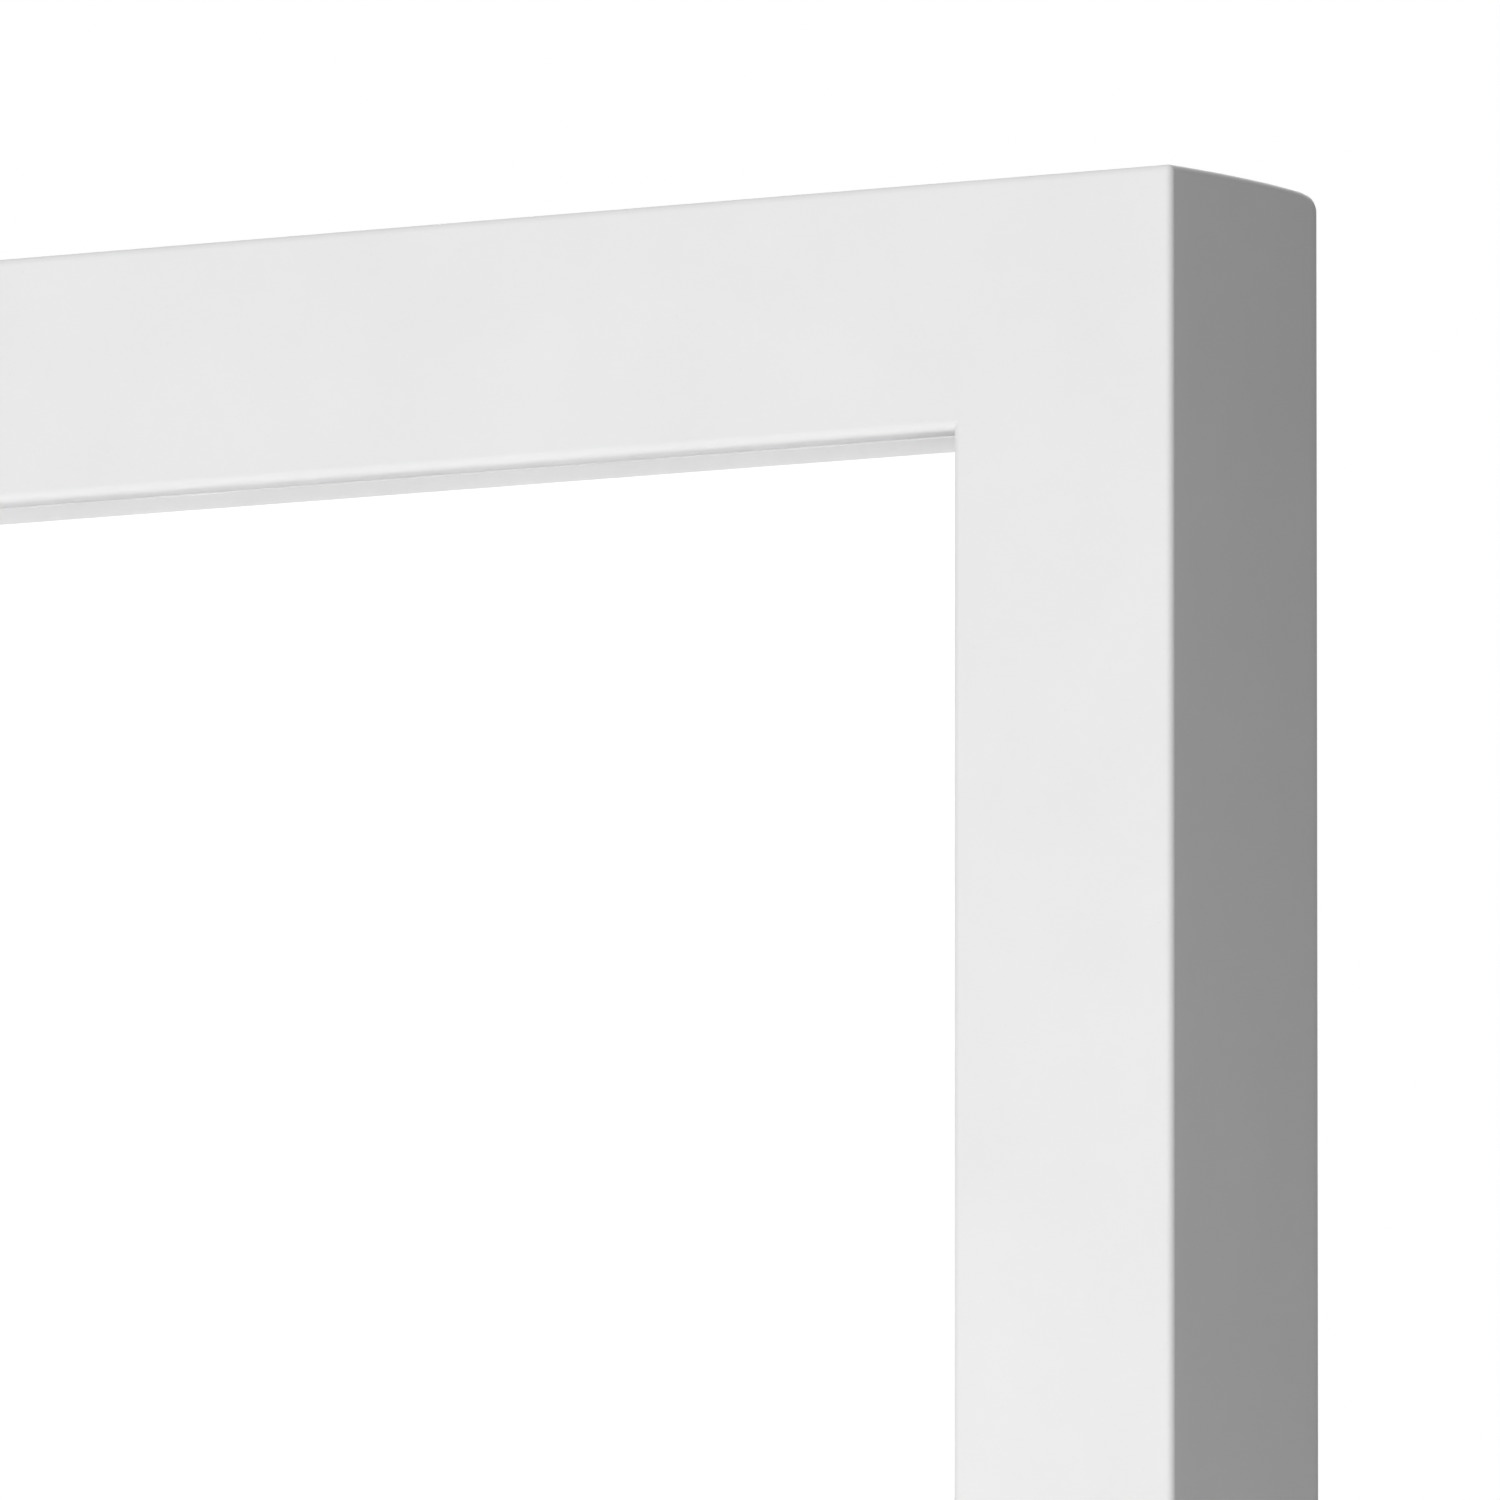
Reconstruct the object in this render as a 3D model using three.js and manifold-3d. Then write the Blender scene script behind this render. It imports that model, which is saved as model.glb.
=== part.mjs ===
// A wall or table shadow box: a deep mitred frame with a glass front, white liner walls, a display board and
// a back panel held in by bent tabs, with two ring hangers and two bumpers behind.
// Millimetres, +Z up. The front faces -Y. The origin is on the underside, at the middle of the frame's depth.
import * as THREE from "three";
import { mergeVertices } from "three/addons/utils/BufferGeometryUtils.js";
import Module from "manifold-3d";

const wasm = await Module();
wasm.setup();

// Sheet goods: the pane, the display board and the back panel are cut to one size.
const INSERT_WIDTH = 203.2;
const INSERT_HEIGHT = 254;
const GLASS_THICKNESS = 2;
const BOARD_THICKNESS = 5;
const PANEL_THICKNESS = 3;

// Moulding: u runs outwards from the sight edge and depth runs back from the face.
const FACE_WIDTH = 25.4;
const FRAME_DEPTH = 32;
const RABBET_WIDTH = 6.35;
const LIP_THICKNESS = 4;
const RECESS_DEPTH = 8.25;
const SIGHT_EDGE_RADIUS = 1.2;
const OUTER_EDGE_RADIUS = 0.8;
const BACK_EDGE_RADIUS = 3.175;
const CROWN = 0.55;
const CROWN_LAND_START = 8;
const EDGE_ARC_STEPS = 4;
const BACK_ARC_STEPS = 8;

// Clearances.
const INSERT_CLEARANCE = 0.8;
const STACK_GAP = 0.05;
const MITRE_GAP = 0.1;
const POCKET_CLEARANCE = 0.3;
const BUTT_GAP = 0.1;

// Corners of a mesh closer than this are one corner.
const WELD_DISTANCE = 1e-4;

// Flexible tabs, pressed into the rabbet wall and bent over the back panel.
const TAB_WIDTH = 8;
const TAB_THICKNESS = 0.6;
const TAB_REACH = 9;
const TAB_ROOT = 6;
const TAB_TIP_RADIUS = 2.5;
const TAB_GAP = 0.1;
const TAB_END_DISTANCE = 42;
const TABS_ACROSS = 2;
const TABS_UP = 3;

// V-nails, driven into each mitre from behind.
const NAIL_ARM = 4;
const NAIL_THICKNESS = 0.7;
const NAIL_HEIGHT = 10;
const NAIL_SETBACK = 0.4;
const NAIL_INNER_MARGIN = 4.65;
const NAIL_OUTER_MARGIN = 4.25;

// Ring hangers: a strap curled round the straight side of a D-shaped ring, with one screw below the curl.
// The ring hangs down round the screw head.
const STRAP_WIDTH = 8;
const STRAP_THICKNESS = 0.8;
const STRAP_LENGTH = 14;
const CURL_END_ANGLE = 20;
const CURL_STEPS = 14;
const RING_WIRE = 2;
const RING_CHAMFER = 0.5;
const RING_PLAY = 0.28;
const RING_SIDE_PLAY = 1.5;
const RING_STRAIGHT = 4;
const RING_STEPS = 14;
const HANGER_HEIGHT_SHARE = 2 / 3;

const SCREW_FROM_HINGE = 6.2;
const SCREW_LENGTH = 12;
const SCREW_RADIUS = 1.6;
const SCREW_TIP_LENGTH = 3;
const SCREW_HEAD_RADIUS = 3.1;
const SCREW_HEAD_HEIGHT = 1.6;
const SCREW_HEAD_STEPS = 4;
const SCREW_SEGMENTS = 20;

const BUMPER_RADIUS = 4.5;
const BUMPER_HEIGHT = 3;
const BUMPER_END_DISTANCE = 14;
const BUMPER_STEPS = 5;
const BUMPER_SEGMENTS = 24;

// Sizes that follow.
const RABBET_OPENING_WIDTH = INSERT_WIDTH + 2 * INSERT_CLEARANCE;
const RABBET_OPENING_HEIGHT = INSERT_HEIGHT + 2 * INSERT_CLEARANCE;
const SIGHT_WIDTH = RABBET_OPENING_WIDTH - 2 * RABBET_WIDTH;
const SIGHT_HEIGHT = RABBET_OPENING_HEIGHT - 2 * RABBET_WIDTH;
const RAIL_WIDTH = FACE_WIDTH + CROWN;
const OUTER_HEIGHT = SIGHT_HEIGHT + 2 * RAIL_WIDTH;
const LINER_THICKNESS = RABBET_WIDTH - INSERT_CLEARANCE;

// The stack, by depth from the face. The pane lies on the lip, the rest is set out from the recess at the
// back, and the liner fills what is left.
const GLASS_FRONT = LIP_THICKNESS + STACK_GAP;
const LINER_FRONT = GLASS_FRONT + GLASS_THICKNESS + STACK_GAP;
const PANEL_BACK = FRAME_DEPTH - RECESS_DEPTH;
const PANEL_FRONT = PANEL_BACK - PANEL_THICKNESS;
const BOARD_FRONT = PANEL_FRONT - STACK_GAP - BOARD_THICKNESS;
const LINER_DEPTH = BOARD_FRONT - STACK_GAP - LINER_FRONT;
const TAB_FRONT = PANEL_BACK + TAB_GAP;

// The flat land behind each rail, in u, and what is set out from it.
const BACK_LAND_END = RAIL_WIDTH - BACK_EDGE_RADIUS;
const NAIL_PLACES = [RABBET_WIDTH + NAIL_INNER_MARGIN, BACK_LAND_END - NAIL_OUTER_MARGIN];
const BACK_LAND_MIDDLE = (RABBET_WIDTH + BACK_LAND_END) / 2;
const HANGER_X = SIGHT_WIDTH / 2 + BACK_LAND_MIDDLE;
const HANGER_Z = OUTER_HEIGHT * (HANGER_HEIGHT_SHARE - 0.5);
const BUMPER_Z = BUMPER_END_DISTANCE - SIGHT_HEIGHT / 2;

// The ring turns in the curl on the corners of its wire.
const CURL_INNER_RADIUS = Math.hypot(RING_WIRE / 2, RING_WIRE / 2 - RING_CHAMFER) + RING_PLAY;
const CURL_OUTER_RADIUS = CURL_INNER_RADIUS + STRAP_THICKNESS;
const HINGE_DEPTH = FRAME_DEPTH + CURL_OUTER_RADIUS;
const RING_INNER_WIDTH = STRAP_WIDTH + 2 * RING_SIDE_PLAY;

// The four sides, in quarter turns from the top one. along and across are the opening's half sizes, as that
// side sees them.
const SIDES = [
  { name: "top", turns: 0, along: SIGHT_WIDTH / 2, across: SIGHT_HEIGHT / 2, tabs: TABS_ACROSS },
  { name: "right", turns: 1, along: SIGHT_HEIGHT / 2, across: SIGHT_WIDTH / 2, tabs: TABS_UP },
  { name: "bottom", turns: 2, along: SIGHT_WIDTH / 2, across: SIGHT_HEIGHT / 2, tabs: TABS_ACROSS },
  { name: "left", turns: 3, along: SIGHT_HEIGHT / 2, across: SIGHT_WIDTH / 2, tabs: TABS_UP },
];
const CORNERS = [
  { name: "top_right", x: 1, z: 1 },
  { name: "bottom_right", x: 1, z: -1 },
  { name: "bottom_left", x: -1, z: -1 },
  { name: "top_left", x: -1, z: 1 },
];
const HANGERS = [
  { name: "right", x: HANGER_X },
  { name: "left", x: -HANGER_X },
];

const COLOURS = {
  paint: { color: 0xf1f1f0, roughness: 0.55, metalness: 0 },
  liner: { color: 0xf4f4f2, roughness: 0.8, metalness: 0 },
  board: { color: 0xfafaf8, roughness: 0.85, metalness: 0 },
  hardboard: { color: 0x8a6a4a, roughness: 0.75, metalness: 0 },
  glass: { color: 0xf2f7f6, roughness: 0.03, metalness: 0, transparent: true, opacity: 0.25 },
  zinc: { color: 0xb9bcc0, roughness: 0.35, metalness: 0.9 },
  rubber: { color: 0xd8d9da, roughness: 0.6, metalness: 0 },
};

// The assembly's own frame has its origin on the face, at the middle of the opening, with y as the depth.
const assembly = new THREE.Group();
assembly.position.set(0, -FRAME_DEPTH / 2, OUTER_HEIGHT / 2);

function addPiece(name, geometry, look) {
  const mesh = new THREE.Mesh(geometry, new THREE.MeshStandardMaterial(COLOURS[look]));
  mesh.name = name;
  assembly.add(mesh);
}

// A geometry as a solid that can be cut and joined.
function solidOf(geometry) {
  const bare = geometry.clone();
  bare.deleteAttribute("normal");
  bare.deleteAttribute("uv");
  const merged = mergeVertices(bare, WELD_DISTANCE);
  const vertProperties = new Float32Array(merged.attributes.position.array);
  const triVerts = new Uint32Array(merged.index.array);
  return new wasm.Manifold(new wasm.Mesh({ numProp: 3, vertProperties, triVerts }));
}

// A solid as a flat-shaded geometry.
function geometryOf(solid) {
  const mesh = solid.getMesh();
  const geometry = new THREE.BufferGeometry();
  geometry.setAttribute("position", new THREE.BufferAttribute(new Float32Array(mesh.vertProperties), 3));
  geometry.setIndex(new THREE.BufferAttribute(new Uint32Array(mesh.triVerts), 1));
  const flat = geometry.toNonIndexed();
  flat.computeVertexNormals();
  return flat;
}

function cutAway(solid, cutters) {
  return cutters.reduce((left, cutter) => left.subtract(cutter), solid);
}

// Points on an arc about (x, y), with angles in degrees.
function arcPoints(x, y, radius, fromDegrees, toDegrees, steps) {
  return Array.from({ length: steps + 1 }, (_, i) => {
    const angle = THREE.MathUtils.degToRad(fromDegrees + ((toDegrees - fromDegrees) * i) / steps);
    return new THREE.Vector2(x + radius * Math.cos(angle), y + radius * Math.sin(angle));
  });
}

// An outline drawn in (x, z) becomes a plate from one depth to another.
function plate(shape, frontDepth, backDepth) {
  const depth = backDepth - frontDepth;
  const geometry = new THREE.ExtrudeGeometry(shape, { depth, bevelEnabled: false });
  // Extrusion runs along +Z. This turn lays it along -Y with the outline upright in (x, z).
  geometry.rotateX(Math.PI / 2);
  geometry.translate(0, backDepth, 0);
  return geometry;
}

// An outline drawn in (u, depth) becomes a bar along x, centred on x = 0, with u as z.
function bar(points, length) {
  const outline = points.map((point) => new THREE.Vector2(-point.x, point.y));
  const shape = new THREE.Shape(outline);
  const geometry = new THREE.ExtrudeGeometry(shape, { depth: length, bevelEnabled: false });
  geometry.rotateY(Math.PI / 2);
  geometry.translate(-length / 2, 0, 0);
  return geometry;
}

function box(width, depth, height, x, frontDepth, z) {
  return new THREE.BoxGeometry(width, depth, height).translate(x, frontDepth + depth / 2, z);
}

// Moves a piece drawn on the top side, with z as u, to its own side of the opening.
function toSide(geometry, side) {
  return geometry.translate(0, 0, side.across).rotateY((side.turns * Math.PI) / 2);
}

// How far each tab's middle is from the middle of its side.
function tabPlaces(side) {
  const end = side.along - TAB_END_DISTANCE;
  return Array.from({ length: side.tabs }, (_, i) => -end + (2 * end * i) / (side.tabs - 1));
}

function tabOutline(place, clearance) {
  const half = TAB_WIDTH / 2 + clearance;
  const tip = RABBET_WIDTH - TAB_REACH - clearance;
  const root = RABBET_WIDTH + TAB_ROOT + clearance;
  const radius = TAB_TIP_RADIUS + clearance;
  return new THREE.Shape([
    new THREE.Vector2(place + half, root),
    new THREE.Vector2(place - half, root),
    ...arcPoints(place - half + radius, tip + radius, radius, 180, 270, EDGE_ARC_STEPS),
    ...arcPoints(place + half - radius, tip + radius, radius, 270, 360, EDGE_ARC_STEPS),
  ]);
}

function tab(place, clearance) {
  const back = TAB_FRONT + TAB_THICKNESS;
  return plate(tabOutline(place, clearance), TAB_FRONT - clearance, back + clearance);
}

// A V-nail's two arms run from its apex on the mitre, one into each rail.
function nailOutline(corner, place, clearance) {
  const apexX = SIGHT_WIDTH / 2 + place + clearance;
  const apexZ = SIGHT_HEIGHT / 2 + place + clearance;
  const arm = NAIL_ARM + 2 * clearance;
  const thickness = NAIL_THICKNESS + 2 * clearance;
  const points = [
    [apexX, apexZ],
    [apexX - arm, apexZ],
    [apexX - arm, apexZ - thickness],
    [apexX - thickness, apexZ - thickness],
    [apexX - thickness, apexZ - arm],
    [apexX, apexZ - arm],
  ].map(([x, z]) => new THREE.Vector2(corner.x * x, corner.z * z));
  return new THREE.Shape(points);
}

function nail(corner, place) {
  const back = FRAME_DEPTH - NAIL_SETBACK;
  return plate(nailOutline(corner, place, 0), back - NAIL_HEIGHT, back);
}

function nailPocket(corner, place) {
  const bottom = FRAME_DEPTH - NAIL_SETBACK - NAIL_HEIGHT - POCKET_CLEARANCE;
  return plate(nailOutline(corner, place, POCKET_CLEARANCE), bottom, FRAME_DEPTH + POCKET_CLEARANCE);
}

function screw() {
  const seat = FRAME_DEPTH + STRAP_THICKNESS;
  const profile = [
    new THREE.Vector2(0, seat - SCREW_LENGTH),
    new THREE.Vector2(SCREW_RADIUS, seat - SCREW_LENGTH + SCREW_TIP_LENGTH),
    new THREE.Vector2(SCREW_RADIUS, seat),
    ...domePoints(SCREW_HEAD_RADIUS, SCREW_HEAD_HEIGHT, seat, SCREW_HEAD_STEPS),
  ];
  return atHanger(new THREE.LatheGeometry(profile, SCREW_SEGMENTS).translate(0, 0, -SCREW_FROM_HINGE));
}

function screwHole() {
  const radius = SCREW_RADIUS + POCKET_CLEARANCE;
  const length = SCREW_LENGTH + POCKET_CLEARANCE + STRAP_THICKNESS;
  const middle = FRAME_DEPTH + 2 * STRAP_THICKNESS - length / 2;
  const hole = new THREE.CylinderGeometry(radius, radius, length, SCREW_SEGMENTS);
  return atHanger(hole.translate(0, middle, -SCREW_FROM_HINGE));
}

// A dome's half outline in (radius, depth), from its rim to its top on the axis.
function domePoints(radius, height, seat, steps) {
  const points = Array.from({ length: steps }, (_, i) => {
    const angle = (Math.PI / 2) * (i / steps);
    return new THREE.Vector2(radius * Math.cos(angle), seat + height * Math.sin(angle));
  });
  return [...points, new THREE.Vector2(0, seat + height)];
}

// Hanger pieces are drawn with their hinge at x = 0, z = 0.
function atHanger(geometry) {
  return geometry.translate(0, 0, HANGER_Z);
}

function strap() {
  const curl = (radius, from, to) => arcPoints(0, HINGE_DEPTH, radius, from, to, CURL_STEPS);
  const outline = [
    ...curl(CURL_OUTER_RADIUS, -90, CURL_END_ANGLE - 360),
    ...curl(CURL_INNER_RADIUS, CURL_END_ANGLE - 360, -90),
    new THREE.Vector2(STRAP_LENGTH, FRAME_DEPTH + STRAP_THICKNESS),
    new THREE.Vector2(STRAP_LENGTH, FRAME_DEPTH),
  ];
  // The outline's plate runs upwards, and half a turn hangs it below the curl.
  const blank = atHanger(bar(outline, STRAP_WIDTH).rotateY(Math.PI));
  return geometryOf(solidOf(blank).subtract(solidOf(screwHole())));
}

// One edge of the ring's wire, in (x, z) about the hinge: its centreline moved out by offset.
function ringOutline(offset) {
  const radius = RING_INNER_WIDTH / 2 + RING_WIRE / 2 + offset;
  return [
    new THREE.Vector2(-radius, offset),
    ...arcPoints(0, -RING_STRAIGHT, radius, 180, 360, RING_STEPS),
    new THREE.Vector2(radius, offset),
  ];
}

function ring() {
  const half = RING_WIRE / 2 - RING_CHAMFER;
  const shape = new THREE.Shape(ringOutline(half));
  shape.holes.push(new THREE.Path(ringOutline(-half)));
  const geometry = new THREE.ExtrudeGeometry(shape, {
    depth: 2 * half,
    bevelEnabled: true,
    bevelThickness: RING_CHAMFER,
    bevelSize: RING_CHAMFER,
    bevelSegments: 1,
  });
  geometry.rotateX(Math.PI / 2);
  return atHanger(geometry.translate(0, HINGE_DEPTH + half, 0));
}

function bumper() {
  const profile = [
    new THREE.Vector2(0, FRAME_DEPTH),
    ...domePoints(BUMPER_RADIUS, BUMPER_HEIGHT, FRAME_DEPTH, BUMPER_STEPS),
  ];
  return new THREE.LatheGeometry(profile, BUMPER_SEGMENTS).translate(0, 0, BUMPER_Z);
}

// The moulding's outline in (u, depth), anticlockwise from the back of the lip.
function mouldingProfile() {
  return [
    new THREE.Vector2(0, LIP_THICKNESS),
    ...arcPoints(SIGHT_EDGE_RADIUS, SIGHT_EDGE_RADIUS, SIGHT_EDGE_RADIUS, 180, 270, EDGE_ARC_STEPS),
    ...arcPoints(
      FACE_WIDTH - OUTER_EDGE_RADIUS,
      OUTER_EDGE_RADIUS,
      OUTER_EDGE_RADIUS,
      270,
      360,
      EDGE_ARC_STEPS,
    ),
    new THREE.Vector2(RAIL_WIDTH, CROWN_LAND_START),
    ...arcPoints(
      RAIL_WIDTH - BACK_EDGE_RADIUS,
      FRAME_DEPTH - BACK_EDGE_RADIUS,
      BACK_EDGE_RADIUS,
      0,
      90,
      BACK_ARC_STEPS,
    ),
    new THREE.Vector2(RABBET_WIDTH, FRAME_DEPTH),
    new THREE.Vector2(RABBET_WIDTH, LIP_THICKNESS),
  ];
}

// The blank between a side's two mitres, seen from the front.
function mitredBlank(side) {
  const inner = side.along - MITRE_GAP / Math.SQRT2;
  const outer = inner + RAIL_WIDTH;
  const shape = new THREE.Shape([
    new THREE.Vector2(-inner, 0),
    new THREE.Vector2(inner, 0),
    new THREE.Vector2(outer, RAIL_WIDTH),
    new THREE.Vector2(-outer, RAIL_WIDTH),
  ]);
  return plate(shape, 0, FRAME_DEPTH);
}

function rail(side, cutters) {
  const length = 2 * (side.along + RAIL_WIDTH);
  const moulding = solidOf(toSide(bar(mouldingProfile(), length), side));
  const blank = solidOf(toSide(mitredBlank(side), side));
  return geometryOf(cutAway(moulding.intersect(blank), cutters));
}

function liner(side) {
  const isFlat = side.turns % 2 === 0;
  const length = isFlat ? INSERT_WIDTH : INSERT_HEIGHT - 2 * (LINER_THICKNESS + BUTT_GAP);
  return toSide(box(length, LINER_DEPTH, LINER_THICKNESS, 0, LINER_FRONT, LINER_THICKNESS / 2), side);
}

function sheet(thickness, frontDepth) {
  return box(INSERT_WIDTH, thickness, INSERT_HEIGHT, 0, frontDepth, 0);
}

const cutters = [
  ...CORNERS.flatMap((corner) => NAIL_PLACES.map((place) => solidOf(nailPocket(corner, place)))),
  ...SIDES.flatMap((side) =>
    tabPlaces(side).map((place) => solidOf(toSide(tab(place, POCKET_CLEARANCE), side))),
  ),
  ...HANGERS.map((hanger) => solidOf(screwHole().translate(hanger.x, 0, 0))),
];

for (const side of SIDES) {
  addPiece(`${side.name}_rail`, rail(side, cutters), "paint");
  addPiece(`${side.name}_liner`, liner(side), "liner");
  tabPlaces(side).forEach((place, i) => {
    addPiece(`${side.name}_tab_${i + 1}`, toSide(tab(place, 0), side), "zinc");
  });
}
addPiece("glass_pane", sheet(GLASS_THICKNESS, GLASS_FRONT), "glass");
addPiece("display_board", sheet(BOARD_THICKNESS, BOARD_FRONT), "board");
addPiece("back_panel", sheet(PANEL_THICKNESS, PANEL_FRONT), "hardboard");
for (const corner of CORNERS) {
  NAIL_PLACES.forEach((place, i) => {
    addPiece(`${corner.name}_v_nail_${i + 1}`, nail(corner, place), "zinc");
  });
}
for (const hanger of HANGERS) {
  addPiece(`${hanger.name}_hanger_strap`, strap().translate(hanger.x, 0, 0), "zinc");
  addPiece(`${hanger.name}_hanger_ring`, ring().translate(hanger.x, 0, 0), "zinc");
  addPiece(`${hanger.name}_hanger_screw`, screw().translate(hanger.x, 0, 0), "zinc");
  addPiece(`${hanger.name}_bumper`, bumper().translate(hanger.x, 0, 0), "rubber");
}

const shadowBox = new THREE.Group();
shadowBox.add(assembly);

export default shadowBox;
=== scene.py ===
import math

import bmesh
import bpy
from mathutils import Matrix, Vector


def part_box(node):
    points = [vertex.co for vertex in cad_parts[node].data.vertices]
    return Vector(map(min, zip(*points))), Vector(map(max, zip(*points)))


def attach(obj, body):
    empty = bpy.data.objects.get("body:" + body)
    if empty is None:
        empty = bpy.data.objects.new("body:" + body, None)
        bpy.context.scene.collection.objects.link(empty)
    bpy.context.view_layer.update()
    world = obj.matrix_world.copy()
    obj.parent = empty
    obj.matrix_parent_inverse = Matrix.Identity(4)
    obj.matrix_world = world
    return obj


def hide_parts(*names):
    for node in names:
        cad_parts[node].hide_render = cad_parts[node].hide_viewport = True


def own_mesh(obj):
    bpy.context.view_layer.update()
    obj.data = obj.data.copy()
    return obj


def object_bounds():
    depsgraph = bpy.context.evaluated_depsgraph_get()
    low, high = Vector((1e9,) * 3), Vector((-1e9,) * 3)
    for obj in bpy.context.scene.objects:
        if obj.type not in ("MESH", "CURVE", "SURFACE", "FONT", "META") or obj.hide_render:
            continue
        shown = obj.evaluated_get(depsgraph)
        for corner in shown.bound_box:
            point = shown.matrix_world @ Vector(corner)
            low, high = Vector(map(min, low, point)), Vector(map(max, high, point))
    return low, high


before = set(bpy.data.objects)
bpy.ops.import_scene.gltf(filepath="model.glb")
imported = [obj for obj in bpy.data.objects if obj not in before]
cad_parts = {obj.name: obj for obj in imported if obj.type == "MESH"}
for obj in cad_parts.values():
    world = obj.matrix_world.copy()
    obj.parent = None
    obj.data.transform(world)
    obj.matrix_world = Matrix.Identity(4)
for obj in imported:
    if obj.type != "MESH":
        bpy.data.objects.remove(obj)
CAD_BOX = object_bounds()

MM = 0.001
X_AXIS, Z_AXIS = 0, 2

# Details of the moulding that the frame's boxes don't give. The crown is how far the outer side stands out
# from the edge of the face. It peaks at a share of the depth, and the shoulder is the part of it that comes
# at once, behind the front edge.
RABBET_WIDTH = 6.35 * MM
CROWN = 0.55 * MM
CROWN_PEAK = 0.72
SHOULDER = 0.5
SIGHT_EDGE_RADIUS = 1.0 * MM
OUTER_EDGE_RADIUS = 0.8 * MM
BACK_EDGE_RADIUS = 3.175 * MM
RABBET_EDGE_RADIUS = 0.4 * MM
CORNER_RADIUS = 0.7 * MM
REAR_CORNER_RADIUS = 2.8 * MM
REAR_SOFTENING = 6.5 * MM
STACK_GAP = 0.05 * MM

# How finely the shapes are divided.
ARC_STEPS = 8
CROWN_STEPS = 14
CORNER_STEPS = 4
RABBET_STEPS = 3
RAIL_STATIONS = 9

# The camera stands low, to the right and far off, with a long lens, and looks up a little. Its distance is
# the depth along its view of the frame's upper right front corner, and the aims are how far the picture's
# middle lies from that corner.
SENSOR_WIDTH = 36.0
CAMERA_LENS = 674.2
CAMERA_AZIMUTH = 29.81
CAMERA_ELEVATION = -7.19
CAMERA_ROLL = 0.068
CAMERA_DISTANCE = 2.8332
AIM_LEFT = 42.44 * MM
AIM_BELOW = 59.19 * MM


def node_box(name):
    """The low and high corners of a CAD node's box."""
    low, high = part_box(name)
    return Vector(low), Vector(high)


TOP_LOW, TOP_HIGH = node_box("top_rail")
SIGHT_HALF_WIDTH = node_box("right_rail")[0].x
SIGHT_HALF_HEIGHT = TOP_LOW.z - TOP_HIGH.z / 2
FRONT, BACK = TOP_LOW.y, TOP_HIGH.y
DEPTH = BACK - FRONT
RAIL_WIDTH = TOP_HIGH.z - TOP_LOW.z
FACE_WIDTH = RAIL_WIDTH - CROWN
MIDDLE = Vector((0, 0, TOP_HIGH.z / 2))
LIP_BACK = node_box("glass_pane")[0].y - STACK_GAP

# For each side, its quarter turns from the top one, and half the opening's size along and across it.
SIDES = {
    "top": (0, SIGHT_HALF_WIDTH, SIGHT_HALF_HEIGHT),
    "right": (1, SIGHT_HALF_HEIGHT, SIGHT_HALF_WIDTH),
    "bottom": (2, SIGHT_HALF_WIDTH, SIGHT_HALF_HEIGHT),
    "left": (3, SIGHT_HALF_HEIGHT, SIGHT_HALF_WIDTH),
}
BACKWARDS = Vector((0, 1, 0))


def turned_to(side, x, y, z):
    """A direction or place drawn for the top side, turned to another one."""
    return Matrix.Rotation(SIDES[side][0] * math.pi / 2, 3, "Y") @ Vector((x, y, z))


# ---------------------------------------------------------------- node trees

MIX_COLOUR_A, MIX_COLOUR_B, MIX_COLOUR_RESULT = 6, 7, 2


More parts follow.
